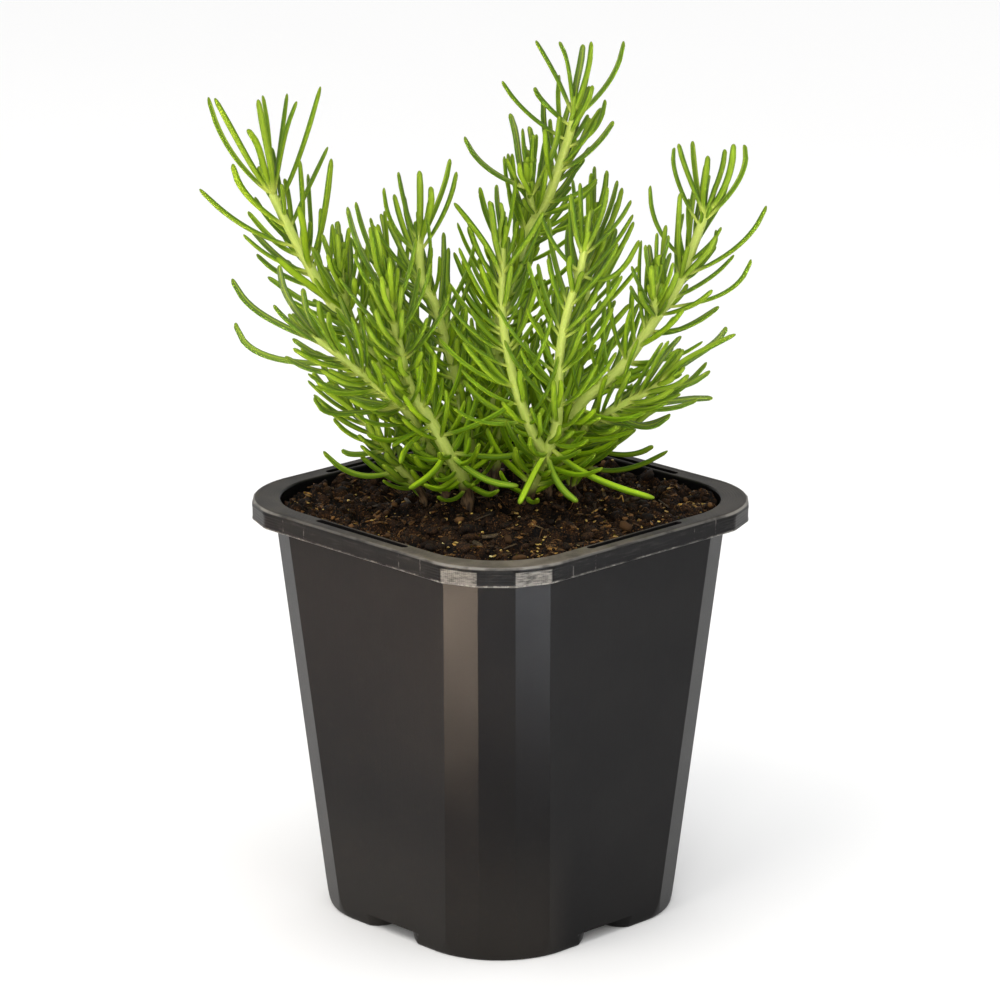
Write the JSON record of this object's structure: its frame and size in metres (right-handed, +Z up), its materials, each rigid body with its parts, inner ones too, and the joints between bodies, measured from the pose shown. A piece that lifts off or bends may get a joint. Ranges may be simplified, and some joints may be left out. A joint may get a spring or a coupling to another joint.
{
  "type": "potted rosemary",
  "caption": "Young rosemary in a square black plastic nursery pot: upright leafy stems with long narrow green needles, rooted in dark compost.",
  "frame": {"origin": "on the ground under the middle of the pot", "axes": "+Z up along the pot's middle; the pot's straight sides face X and Y; seen best over the corner at -X -Y"},
  "size_m": [0.1215, 0.126, 0.2403],
  "materials": {
    "pot_plastic": "satin black moulded polypropylene with scuffed edges",
    "compost": "moist dark peat and bark compost with pale fibres; fabric stands in for loose soil",
    "leafy_green": "fresh bright green needles on pale yellow-green stems, brown only where they leave the compost; leather stands in for living leaf"
  },
  "bodies": {
    "root": {"pot": "pot_plastic", "soil": "compost", "leafy_stem_left_long": "leafy_green", "leafy_stem_tall": "leafy_green", "leafy_stem_right_long": "leafy_green", "leafy_stem_front": "leafy_green", "leafy_stem_mid_left": "leafy_green", "leafy_stem_left_low": "leafy_green", "leafy_stem_right_low": "leafy_green", "leafy_stem_soil_left": "leafy_green", "leafy_stem_soil_right": "leafy_green", "leafy_stem_back_left": "leafy_green", "leafy_stem_back_right": "leafy_green", "leafy_stem_back_low": "leafy_green"}
  },
  "joints": []
}
